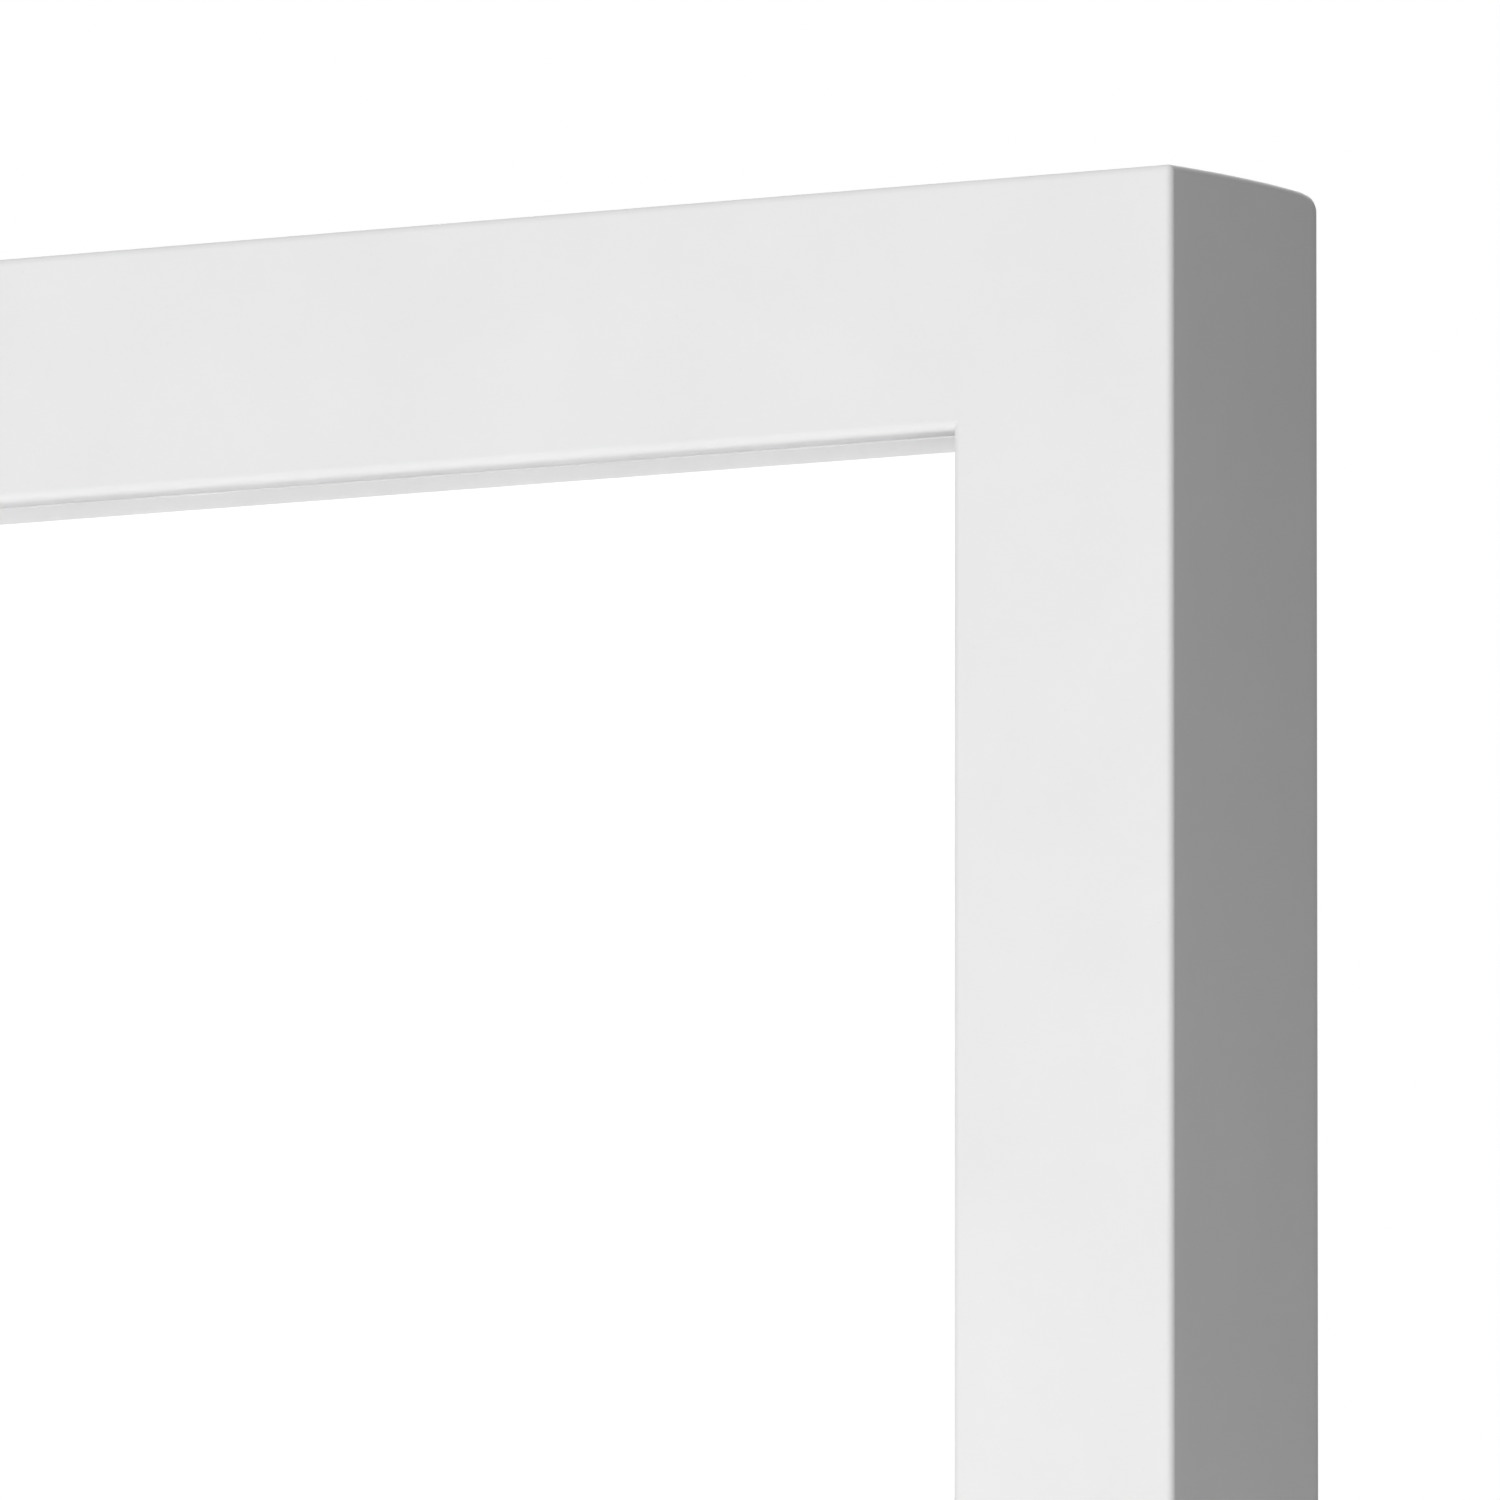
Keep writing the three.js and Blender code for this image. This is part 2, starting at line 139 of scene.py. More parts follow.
class Tree:
    """A small writer for a material's nodes. Textures are placed by the object's coordinates, in metres."""

    def __init__(self, name):
        self.material = bpy.data.materials.new(name)
        self.material.use_nodes = True
        self.tree = self.material.node_tree
        self.shader = self.tree.nodes["Principled BSDF"]
        self.output = self.tree.nodes["Material Output"]
        self.coords = self.add("ShaderNodeTexCoord").outputs["Object"]

    def add(self, kind, **settings):
        node = self.tree.nodes.new(kind)
        for key, value in settings.items():
            setattr(node, key, value)
        return node

    def link(self, output, socket):
        self.tree.links.new(output, socket)

    def set(self, socket, value):
        """Sets one of the shader's sockets, to a value or to another node's output."""
        target = self.shader.inputs[socket]
        if isinstance(value, (int, float, tuple)):
            target.default_value = value
        else:
            self.link(value, target)

    def scaled(self, along, along_scale, other_scale):
        """The coordinates with one scale along an axis and another across it, for grain."""
        mapping = self.add("ShaderNodeMapping")
        scale = [other_scale] * 3
        scale[along] = along_scale
        mapping.inputs["Scale"].default_value = scale
        self.link(self.coords, mapping.inputs["Vector"])
        return mapping.outputs["Vector"]

    def noise(self, scale, detail=3.0, roughness=0.5, distortion=0.0, vector=None):
        node = self.add("ShaderNodeTexNoise")
        node.inputs["Scale"].default_value = scale
        node.inputs["Detail"].default_value = detail
        node.inputs["Roughness"].default_value = roughness
        node.inputs["Distortion"].default_value = distortion
        self.link(vector or self.coords, node.inputs["Vector"])
        return node.outputs["Fac"]

    def ramp(self, factor, *stops):
        """Colours at places on the factor, each stop being (place, colour)."""
        node = self.add("ShaderNodeValToRGB")
        elements = node.color_ramp.elements
        while len(elements) < len(stops):
            elements.new(0.5)
        for element, (place, colour) in zip(elements, stops):
            element.position = place
            element.color = colour
        self.link(factor, node.inputs["Fac"])
        return node.outputs["Color"]

    def span(self, factor, low, high, from_low=0.3, from_high=0.7):
        """The factor's usual range, spread between two values."""
        node = self.add("ShaderNodeMapRange")
        node.inputs["From Min"].default_value = from_low
        node.inputs["From Max"].default_value = from_high
        node.inputs["To Min"].default_value = low
        node.inputs["To Max"].default_value = high
        self.link(factor, node.inputs["Value"])
        return node.outputs["Result"]

    def product(self, one, other):
        """Two colours multiplied. The mix node has sockets of one name for each kind of data."""
        node = self.add("ShaderNodeMix", data_type="RGBA", blend_type="MULTIPLY")
        node.inputs["Factor"].default_value = 1.0
        self.link(one, node.inputs[MIX_COLOUR_A])
        self.link(other, node.inputs[MIX_COLOUR_B])
        return node.outputs[MIX_COLOUR_RESULT]

    def bump(self, height, distance, under=None):
        """A bump of the normal by a height, over another bump if one is given."""
        node = self.add("ShaderNodeBump")
        node.inputs["Distance"].default_value = distance
        self.link(height, node.inputs["Height"])
        if under:
            self.link(under, node.inputs["Normal"])
        return node.outputs["Normal"]


def grey(value, warmth=0.0):
    """A grey that's a little redder and less blue by its warmth."""
    return (value * (1 + warmth), value, value * (1 - warmth), 1)


# ---------------------------------------------------------------- materials


def paint(name, value, roughness, stipple=0.012 * MM):
    """Sprayed white paint: a soft mottle, a fine stipple, a long ripple and a few dust nibs."""
    t = Tree(name)
    mottle = t.noise(55.0, detail=4.0, roughness=0.55)
    colour = t.ramp(mottle, (0.3, grey(value * 0.985)), (0.7, grey(value * 1.01)))
    nibs = t.ramp(t.noise(2600.0, detail=1.0), (0.74, grey(1.0)), (0.8, grey(0.965)))
    t.set("Base Color", t.product(colour, nibs))
    t.set("Roughness", t.span(t.noise(240.0), roughness - 0.06, roughness + 0.07))
    fine = t.bump(t.noise(1500.0, detail=2.0), stipple)
    t.set("Normal", t.bump(t.noise(130.0, detail=2.0), 0.02 * MM, under=fine))
    return t.material


def bare_wood(name, along):
    """Pale softwood with its grain along one axis, as left inside the rabbet."""
    t = Tree(name)
    rings = t.noise(1.0, distortion=0.6, vector=t.scaled(along, 5.0, 95.0))
    fibres = t.noise(1.0, detail=4.0, roughness=0.65, vector=t.scaled(along, 14.0, 420.0))
    early, middle, late = (0.62, 0.43, 0.24, 1), (0.56, 0.37, 0.2, 1), (0.42, 0.25, 0.12, 1)
    colour = t.ramp(rings, (0.36, early), (0.52, middle), (0.62, late))
    t.set("Base Color", t.product(colour, t.ramp(fibres, (0.3, grey(0.82)), (0.65, grey(1.0)))))
    t.set("Roughness", t.span(fibres, 0.7, 0.9))
    t.set("Normal", t.bump(fibres, 0.08 * MM))
    return t.material


def card_paper(name, value):
    """Matt white paper facing with a fibrous tooth."""
    t = Tree(name)
    tooth = t.noise(1900.0, roughness=0.6)
    t.set("Base Color", t.ramp(t.noise(40.0), (0.3, grey(value * 0.99)), (0.7, grey(value))))
    t.set("Roughness", t.span(tooth, 0.78, 0.9))
    t.set("Normal", t.bump(tooth, 0.012 * MM))
    return t.material


def foam_core(name):
    """The cut edge of white foam, with its bead cells. The cells are darker towards their edges, where the
    bump sinks them: painted shade in the grooves between the beads.
    """
    t = Tree(name)
    cells = t.add("ShaderNodeTexVoronoi")
    cells.inputs["Scale"].default_value = 2200.0
    t.link(t.coords, cells.inputs["Vector"])
    beads = cells.outputs["Distance"]
    # Painted shade: darker towards each cell's edge, in the grooves that the bump below makes.
    t.set("Base Color", t.ramp(beads, (0.0, grey(0.86)), (0.6, grey(0.72))))
    t.set("Roughness", t.span(beads, 0.8, 0.95, 0.0, 0.6))
    t.set("Normal", t.bump(beads, -0.06 * MM))
    return t.material


def hardboard(name):
    """Tempered hardboard: pressed brown fibres with darker flecks."""
    t = Tree(name)
    clouds = t.noise(30.0, detail=5.0, roughness=0.6)
    fibres = t.noise(1.0, detail=5.0, roughness=0.7, distortion=1.2, vector=t.scaled(Z_AXIS, 900.0, 520.0))
    base = t.ramp(clouds, (0.3, (0.2, 0.105, 0.05, 1)), (0.7, (0.3, 0.17, 0.085, 1)))
    flecks = t.ramp(fibres, (0.36, grey(0.55)), (0.5, grey(1.0)), (0.66, grey(1.22)))
    t.set("Base Color", t.product(base, flecks))
    t.set("Roughness", t.span(fibres, 0.5, 0.72))
    t.set("Normal", t.bump(fibres, 0.04 * MM))
    return t.material


def steel(name, value, roughness, warmth=0.0):
    """Plated or cold rolled steel, with fine rolling lines and a faint bloom."""
    t = Tree(name)
    lines = t.noise(1.0, vector=t.scaled(Z_AXIS, 4200.0, 700.0))
    bloom = t.noise(160.0, detail=4.0, roughness=0.6)
    t.set("Base Color", t.ramp(bloom, (0.3, grey(value * 0.86, warmth)), (0.7, grey(value, warmth))))
    t.set("Metallic", 1.0)
    t.set("Roughness", t.span(bloom, roughness - 0.08, roughness + 0.12))
    t.set("Normal", t.bump(lines, 0.006 * MM))
    return t.material


def rubber(name):
    """Soft milky rubber with a faintly pebbled skin."""
    t = Tree(name)
    pebbles = t.noise(900.0)
    t.set("Base Color", t.ramp(t.noise(120.0), (0.3, grey(0.42)), (0.7, grey(0.48))))
    t.set("Roughness", t.span(pebbles, 0.35, 0.5))
    t.set("Subsurface Weight", 0.25)
    t.set("Subsurface Scale", 2 * MM)
    t.set("Normal", t.bump(pebbles, 0.01 * MM))
    return t.material


def clear_glass(name):
    """Coated picture glass, which mirrors little. Lamps and bounced light pass straight through it."""
    t = Tree(name)
    t.set("Base Color", (0.998, 0.998, 1.0, 1))
    t.set("Transmission Weight", 1.0)
    t.set("IOR", 1.3)
    t.set("Roughness", t.span(t.noise(35.0, detail=4.0), 0.0, 0.03))
    clear = t.add("ShaderNodeBsdfTransparent")
    clear.inputs["Color"].default_value = (0.99, 0.988, 0.992, 1)
    path = t.add("ShaderNodeLightPath")
    passing = t.add("ShaderNodeMath", operation="MAXIMUM")
    t.link(path.outputs["Is Shadow Ray"], passing.inputs[0])
    t.link(path.outputs["Is Diffuse Ray"], passing.inputs[1])
    both = t.add("ShaderNodeMixShader")
    t.link(passing.outputs[0], both.inputs["Fac"])
    t.link(t.shader.outputs["BSDF"], both.inputs[1])
    t.link(clear.outputs["BSDF"], both.inputs[2])
    t.link(both.outputs["Shader"], t.output.inputs["Surface"])
    return t.material


def glass_edge(name):
    """The ground edge of a low-iron pane: barely green and slightly rough. It is paler than the ground glass
    alone, painted light that lifts the shade in the groove under the frame's lip.
    """
    t = Tree(name)
    ground = t.noise(1400.0)
    # Painted light: the edge is made pale so that the groove under the lip, seen through the pane, reads as
    # lit instead of shaded.
    t.set("Base Color", t.ramp(ground, (0.3, (0.78, 0.86, 0.83, 1)), (0.7, (0.86, 0.92, 0.89, 1))))
    t.set("Roughness", t.span(ground, 0.25, 0.45))
    t.set("Normal", t.bump(ground, 0.01 * MM))
    return t.material


LOOKS = {
    "frame_paint": paint("frame_paint", 0.74, 0.7),
    "liner_paint": paint("liner_paint", 0.7, 0.75, stipple=0.02 * MM),
    "wood_across": bare_wood("wood_across", X_AXIS),
    "wood_up": bare_wood("wood_up", Z_AXIS),
    "board_paper": card_paper("board_paper", 0.95),
    "foam_core": foam_core("foam_core"),
    "hardboard": hardboard("hardboard"),
    "tab_steel": steel("tab_steel", 0.55, 0.34),
    "nail_steel": steel("nail_steel", 0.4, 0.42),
    "hanger_zinc": steel("hanger_zinc", 0.68, 0.28, warmth=0.015),
    "bumper_rubber": rubber("bumper_rubber"),
    "clear_glass": clear_glass("clear_glass"),
    "glass_edge": glass_edge("glass_edge"),
}


# ---------------------------------------------------------------- mesh helpers

WELD_DISTANCE = 1e-7
FLAT_FACE_WEIGHT = 100
CUT_MARGIN = 1 * MM
TIP_ANGLES = (0, 20, 40, 58, 74, 84, 90)


def applied(obj):
    """Makes an object's modifiers part of its mesh."""
    done = obj.evaluated_get(bpy.context.evaluated_depsgraph_get())
    mesh = bpy.data.meshes.new_from_object(done)
    obj.modifiers.clear()
    obj.data = mesh
    return mesh


def new_object(name, bm, looks, sharp_degrees=30.0, cuts=()):
    """An object from a bmesh, less the cuts, which are bmeshes too. It's smooth between sharp edges, and its
    larger faces are shaded flat."""
    bmesh.ops.remove_doubles(bm, verts=bm.verts, dist=WELD_DISTANCE)
    bmesh.ops.recalc_face_normals(bm, faces=bm.faces)
    mesh = bpy.data.meshes.new(name)
    bm.to_mesh(mesh)
    bm.free()
    for look in looks:
        mesh.materials.append(LOOKS[look])
    obj = bpy.data.objects.new(name, mesh)
    bpy.context.scene.collection.objects.link(obj)
    tools = [new_object("cutting_tool", shape, []) for shape in cuts]
    for tool in tools:
        modifier = obj.modifiers.new("cut", "BOOLEAN")
        modifier.operation = "DIFFERENCE"
        modifier.solver = "EXACT"
        modifier.object = tool
    if tools:
        mesh = applied(obj)
    for tool in tools:
        bpy.data.objects.remove(tool)
    mesh.shade_smooth()
    mesh.set_sharp_from_angle(angle=math.radians(sharp_degrees))
    flatter = obj.modifiers.new("flatter", "WEIGHTED_NORMAL")
    flatter.mode = "FACE_AREA"
    flatter.weight = FLAT_FACE_WEIGHT
    flatter.keep_sharp = True
    applied(obj)
    return obj


def carried(obj, body, node):
    """Makes a piece take a CAD node's place, on its body."""
    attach(obj, body)
    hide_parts(node)


def arc(centre_x, centre_y, radius, start, end, steps=ARC_STEPS):
    """Points on an arc, with angles in degrees."""
    angles = [math.radians(start + (end - start) * i / steps) for i in range(steps + 1)]
    return [(centre_x + radius * math.cos(a), centre_y + radius * math.sin(a)) for a in angles]


def skin(bm, rings, closed=False):
    """Joins rings of equally many points by faces. Returns each face with its place round the ring."""
    rows = [[bm.verts.new(point) for point in ring] for ring in rings]
    count = len(rows[0])
    pairs = list(zip(rows, rows[1:]))
    if closed:
        pairs.append((rows[-1], rows[0]))
    faces = []
    for one, other in pairs:
        for i in range(count):
            j = (i + 1) % count
            faces.append((i, bm.faces.new((one[i], one[j], other[j], other[i]))))
    if not closed:
        bm.faces.new(rows[0])
        bm.faces.new(list(reversed(rows[-1])))
    return faces


def eased_box(low, high, easing, segments=2):
    """A box with its edges eased."""
    bm = bmesh.new()
    bmesh.ops.create_cube(bm, size=1.0)
    size, middle = high - low, (high + low) / 2
    for vert in bm.verts:
        vert.co = Vector(c * s for c, s in zip(vert.co, size)) + middle
    bmesh.ops.bevel(bm, geom=bm.edges, offset=easing, segments=segments, profile=0.5, affect="EDGES")
    return bm


def plate(outline, low_y, high_y):
    """A plate from an outline in (x, z)."""
    bm = bmesh.new()
    skin(bm, [[(x, y, z) for x, z in outline] for y in (low_y, high_y)])
    return bm


def lathed(centre, profile, segments):
    """The rings of a body of revolution about the depth axis, from its (radius, y) points."""
    rings = []
    for radius, y in profile:
        points = arc(centre.x, centre.z, radius, 0, 360, segments)[:-1]
        rings.append([(x, y, z) for x, z in points])
    return rings


def ribbon(stations, across, thickness, easing):
    """A flat strip with eased edges. Each station is (middle of the strip, its normal, half its width)."""
    half = thickness / 2
    rings = []
    for middle, normal, width in stations:
        eased = min(easing, width / 2)
        quarter = [(width, half - eased), (width - eased, half)]
        right = [(a, -b) for a, b in reversed(quarter)] + quarter
        left = [(-a, b) for a, b in reversed(right)]
        rings.append([middle + across * a + normal * b for a, b in right + left])
    bm = bmesh.new()
    skin(bm, rings)
    return bm


def rounded_tip(left, radius, half):
    """Half the width of a strip with rounded corners, this far from its tip."""
    if left >= radius:
        return half
    return half - radius + math.sqrt(max(0.0, radius**2 - (radius - left) ** 2))


def tip_lengths(length, radius):
    """Where the stations of a strip lie on its rounded tip."""
    return [length - radius * (1 - math.sin(math.radians(a))) for a in TIP_ANGLES]


# ---------------------------------------------------------------- frame rails

NAIL_THICKNESS = 0.7 * MM
NAIL_SLOT = 0.12 * MM
NAIL_SHOWN = 0.1 * MM
TAB_ROOT = 6 * MM
TAB_SLOT = 0.15 * MM
TAB_SLOT_DEPTH = 2 * MM


def crown(share):
    """How far the outer side stands out at this share of the depth. It swells slowly towards the back, from
    a soft shoulder behind its front edge."""
    s = min(share / CROWN_PEAK, 1.0)
    swell = s * s * (3 - 2 * s)
    shoulder = 1 - (1 - s) ** 3
    return CROWN * (swell + SHOULDER * (shoulder - swell))


def moulding_profile():
    """(u, y) points round the moulding, with u outwards from the sight edge, and which of its sides is the
    rabbet's wall."""
    sight = arc(SIGHT_EDGE_RADIUS, FRONT + SIGHT_EDGE_RADIUS, SIGHT_EDGE_RADIUS, 180, 270)
    outer_centre = FACE_WIDTH - OUTER_EDGE_RADIUS
    outer = arc(outer_centre, FRONT + OUTER_EDGE_RADIUS, OUTER_EDGE_RADIUS, 270, 360)
    start, end = OUTER_EDGE_RADIUS / DEPTH, 1 - BACK_EDGE_RADIUS / DEPTH
    shares = [start + (end - start) * i / CROWN_STEPS for i in range(1, CROWN_STEPS)]
    side = [(FACE_WIDTH + crown(s), FRONT + s * DEPTH) for s in shares]
    back = arc(RAIL_WIDTH - BACK_EDGE_RADIUS, BACK - BACK_EDGE_RADIUS, BACK_EDGE_RADIUS, 0, 90)
    rabbet_centre = RABBET_WIDTH + RABBET_EDGE_RADIUS
    rabbet = arc(rabbet_centre, BACK - RABBET_EDGE_RADIUS, RABBET_EDGE_RADIUS, 90, 180, RABBET_STEPS)
    points = [(0, LIP_BACK), *sight, *outer, *side, *back, *rabbet, (RABBET_WIDTH, LIP_BACK)]
    return points, len(points) - 2


def corner_radius(u, y):
    """The outer corner's radius on a line of the moulding. It's larger towards the back, and smaller by as
    much as the line lies in from the outer side."""
    rear = max(0.0, 1 - (BACK - y) / REAR_SOFTENING)
    inset = FACE_WIDTH + crown((y - FRONT) / DEPTH) - u
    return max(0.0, CORNER_RADIUS + (REAR_CORNER_RADIUS - CORNER_RADIUS) * rear**2 - inset)


def moulding_path(u, y, half_along, half_across):
    """Where a line of the moulding runs on the top side, in (x, z), from one mitre to the other."""
    radius = corner_radius(u, y)
    x, z = half_along + u - radius, half_across + u - radius
    right = arc(x, z, radius, 45, 90, CORNER_STEPS)
    left = [(-px, pz) for px, pz in right]
    places = [2 * i / (RAIL_STATIONS - 1) - 1 for i in range(1, RAIL_STATIONS - 1)]
    straight = [(x * place, z + radius) for place in places]
    return left + straight + list(reversed(right))


def nail_outline(node, clearance):
    """A V-nail's outline in (x, z). Its apex is the corner that is furthest from the frame's middle."""
    low, high = node_box(node)
    side_x = math.copysign(1, low.x)
    side_z = math.copysign(1, low.z - MIDDLE.z)
    apex_x = (high.x if side_x > 0 else low.x) + side_x * clearance
    apex_z = (high.z if side_z > 0 else low.z) + side_z * clearance
    arm = high.x - low.x + 2 * clearance
    thick = NAIL_THICKNESS + 2 * clearance
    points = [(0, 0), (arm, 0), (arm, thick), (thick, thick), (thick, arm), (0, arm)]
    return [(apex_x - side_x * a, apex_z - side_z * b) for a, b in points]


def nail_slot(node):
    """The slot that a V-nail left in the back of the frame."""
    return plate(nail_outline(node, NAIL_SLOT), node_box(node)[1].y - NAIL_SHOWN, BACK + CUT_MARGIN)


def tab_slot(node, side):
    """The slot in the rabbet wall that a tab is pressed into."""
    low, high = node_box(node)
    outwards = turned_to(side, 0, 0, 1)
    axis = X_AXIS if abs(outwards.x) > abs(outwards.z) else Z_AXIS
    root = high[axis] if outwards[axis] > 0 else low[axis]
    wall = root - outwards[axis] * TAB_ROOT
    grow = Vector((TAB_SLOT, TAB_SLOT, TAB_SLOT))
    low, high = low - grow, high + grow
    ends = [wall - outwards[axis] * CUT_MARGIN, wall + outwards[axis] * TAB_SLOT_DEPTH]
    low[axis], high[axis] = sorted(ends)
    return eased_box(low, high, TAB_SLOT / 2, segments=1)


def rail(side):
    """A mitred rail of the moulding, painted outside and bare on its rabbet's wall."""
    turns, half_along, half_across = SIDES[side]
    points, rabbet_wall = moulding_profile()
    paths = [moulding_path(u, y, half_along, half_across) for u, y in points]
    rings = [
        [turned_to(side, path[k][0], y, path[k][1]) + MIDDLE for path, (_, y) in zip(paths, points)]
        for k in range(len(paths[0]))
    ]
    bm = bmesh.new()
    for i, face in skin(bm, rings):
        face.material_index = 1 if i == rabbet_wall else 0
    wood = "wood_across" if turns % 2 == 0 else "wood_up"
    slots = [nail_slot(node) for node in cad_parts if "_v_nail_" in node and side in node]
    slots += [tab_slot(node, side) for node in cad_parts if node.startswith(f"{side}_tab_")]
    obj = new_object(f"{side}_rail_moulding", bm, ["frame_paint", wood], cuts=slots)
    carried(obj, "frame", f"{side}_rail")


for side_name in SIDES:
    rail(side_name)


# ---------------------------------------------------------------- pane, liner, board and back panel

PANE_ARRIS = 0.25 * MM
LINER_EASING = 0.3 * MM
PANEL_EASING = 0.35 * MM
PAPER_THICKNESS = 0.45 * MM
FOAM_SHRINK = 0.12 * MM
FLAT_ON = 0.99


def pane():
    """The glass, with a seamed arris all round."""
    bm = eased_box(*node_box("glass_pane"), PANE_ARRIS, segments=1)
    bmesh.ops.recalc_face_normals(bm, faces=bm.faces)
    for face in bm.faces:
        face.material_index = 0 if abs(face.normal.y) > FLAT_ON else 1
    obj = new_object("glass_pane_seamed", bm, ["clear_glass", "glass_edge"], sharp_degrees=10)
    carried(obj, "glass", "glass_pane")


def liner(side):
    """A white strip that holds the pane forward."""
    bm = eased_box(*node_box(f"{side}_liner"), LINER_EASING)
    obj = new_object(f"{side}_liner_strip", bm, ["liner_paint"])
    carried(obj, "liner", f"{side}_liner")


def display_board():
    """Paper, foam and paper. The foam's cut edge stands a little in from the papers."""
    low, high = node_box("display_board")
    foam_low, foam_high = low.y + PAPER_THICKNESS, high.y - PAPER_THICKNESS
    levels = [
        (low.y, 0.0),
        (foam_low, 0.0),
        (foam_low, FOAM_SHRINK),
        (foam_high, FOAM_SHRINK),
        (foam_high, 0.0),
        (high.y, 0.0),
    ]
    rings = [
        [
            (low.x + shrink, y, low.z + shrink),
            (high.x - shrink, y, low.z + shrink),
            (high.x - shrink, y, high.z - shrink),
            (low.x + shrink, y, high.z - shrink),
        ]
        for y, shrink in levels
    ]
    bm = bmesh.new()
    skin(bm, rings)
    for face in bm.faces:
        face.material_index = 1 if foam_low < face.calc_center_median().y < foam_high else 0
    obj = new_object("display_board_laminate", bm, ["board_paper", "foam_core"])
    carried(obj, "board", "display_board")


def back_panel():
    """The hardboard that closes the back."""
    bm = eased_box(*node_box("back_panel"), PANEL_EASING)
    obj = new_object("back_panel_board", bm, ["hardboard"])
    carried(obj, "back", "back_panel")


pane()
for side_name in SIDES:
    liner(side_name)
display_board()
back_panel()


# ---------------------------------------------------------------- tabs and nails

TAB_TIP_RADIUS = 2.5 * MM
TAB_BOW = 0.45 * MM
TAB_STEPS = 10
TAB_EASING = 0.08 * MM
NAIL_EASING = 0.06 * MM


def tab(node, side):
    """A stamped steel tab, pressed into the rabbet wall and bowed so that its tip bears on the panel."""
    low, high = node_box(node)
    inwards = turned_to(side, 0, 0, -1)
    across = inwards.cross(BACKWARDS)
    middle, size = (low + high) / 2, high - low
    length = abs(size.dot(inwards))
    half = abs(size.dot(across)) / 2
    root = middle - inwards * (length / 2)
    exposed = length - TAB_ROOT
    lengths = [(length - TAB_TIP_RADIUS) * i / TAB_STEPS for i in range(TAB_STEPS)]
    stations = []
    for s in lengths + tip_lengths(length, TAB_TIP_RADIUS):
        bow = TAB_BOW * math.sin(math.pi * max(0.0, s - TAB_ROOT) / exposed)
        width = rounded_tip(length - s, TAB_TIP_RADIUS, half)
        stations.append((root + inwards * s + BACKWARDS * bow, BACKWARDS, width))
    obj = new_object(f"{node}_bowed", ribbon(stations, across, size.y, TAB_EASING), ["tab_steel"])
    carried(obj, "frame", node)
    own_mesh(obj)


def nail(node):
    """A V-nail, with its edges rolled."""
    low, high = node_box(node)
    bm = plate(nail_outline(node, 0.0), low.y, high.y)
    bmesh.ops.bevel(bm, geom=bm.edges, offset=NAIL_EASING, segments=1, profile=0.5, affect="EDGES")
    obj = new_object(f"{node}_steel", bm, ["nail_steel"])
    carried(obj, "frame", node)


for cad_name in list(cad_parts):
    if "_tab_" in cad_name:
        tab(cad_name, cad_name.split("_")[0])
    if "_v_nail_" in cad_name:
        nail(cad_name)


# ---------------------------------------------------------------- hangers and bumpers

STRAP_THICKNESS = 0.8 * MM
STRAP_EASING = 0.15 * MM
STRAP_TIP_RADIUS = 3 * MM
STRAP_HOLE_RADIUS = 1.9 * MM
STRAP_STEPS = 8
CURL_TURN = 250
CURL_STEPS = 24
RING_BEND_RADIUS = 1.8 * MM
RING_BOW_STEPS = 28
WIRE_SEGMENTS = 14
SCREW_SEGMENTS = 24
SCREW_RADIUS = 1.6 * MM
SCREW_CORE = 0.74
SCREW_PITCH = 1.25 * MM
SCREW_TIP_LENGTH = 3 * MM
SCREW_TIP_BLUNTNESS = 0.06
SCREW_STEPS = 64
THREAD_SHARPNESS = 3.2
HEAD_RIM = 0.25 * MM
HEAD_FULLNESS = 0.7
HEAD_TOP = 0.03
HEAD_STEPS = 8
CROSS_TOP = (1.75 * MM, 0.42 * MM)
CROSS_BOTTOM = (0.9 * MM, 0.28 * MM)
CROSS_DEPTH = 1.0 * MM
SCREW_TWISTS = {"right": 20, "left": 63}
BUMPER_RIM = 0.35 * MM
BUMPER_CREST = 0.45
BUMPER_STEPS = 10
BUMPER_SEGMENTS = 40


def strap(side):
    """A strap curled round the ring's straight bar, with a rounded lower end and a hole for its screw."""
    node = f"{side}_hanger_strap"
    low, high = node_box(node)
    screw_low, screw_high = node_box(f"{side}_hanger_screw")
    half = (high.x - low.x) / 2
    curl_radius = (high.y - low.y - STRAP_THICKNESS) / 2
    hinge = (low + high) / 2
    hinge.z = high.z - curl_radius - STRAP_THICKNESS / 2
    length = hinge.z - low.z
    lengths = [(length - STRAP_TIP_RADIUS) * i / STRAP_STEPS for i in range(STRAP_STEPS)]
    lengths += tip_lengths(length, STRAP_TIP_RADIUS)
    stations = []
    for s in reversed(lengths):
        middle = hinge + Vector((0, -curl_radius, -s))
        stations.append((middle, BACKWARDS, rounded_tip(length - s, STRAP_TIP_RADIUS, half)))
    for i in range(1, CURL_STEPS + 1):
        angle = math.radians(CURL_TURN * i / CURL_STEPS)
        normal = Vector((0, math.cos(angle), -math.sin(angle)))
        stations.append((hinge - normal * curl_radius, normal, half))
    bm = ribbon(stations, Vector((1, 0, 0)), STRAP_THICKNESS, STRAP_EASING)
    hole = bmesh.new()
    ends = (low.y - CUT_MARGIN, low.y + STRAP_THICKNESS + CUT_MARGIN)
    centre = (screw_low + screw_high) / 2
    skin(hole, lathed(centre, [(STRAP_HOLE_RADIUS, y) for y in ends], SCREW_SEGMENTS))
    obj = new_object(f"{side}_strap_curled", bm, ["hanger_zinc"], cuts=[hole])
    carried(obj, "frame", node)


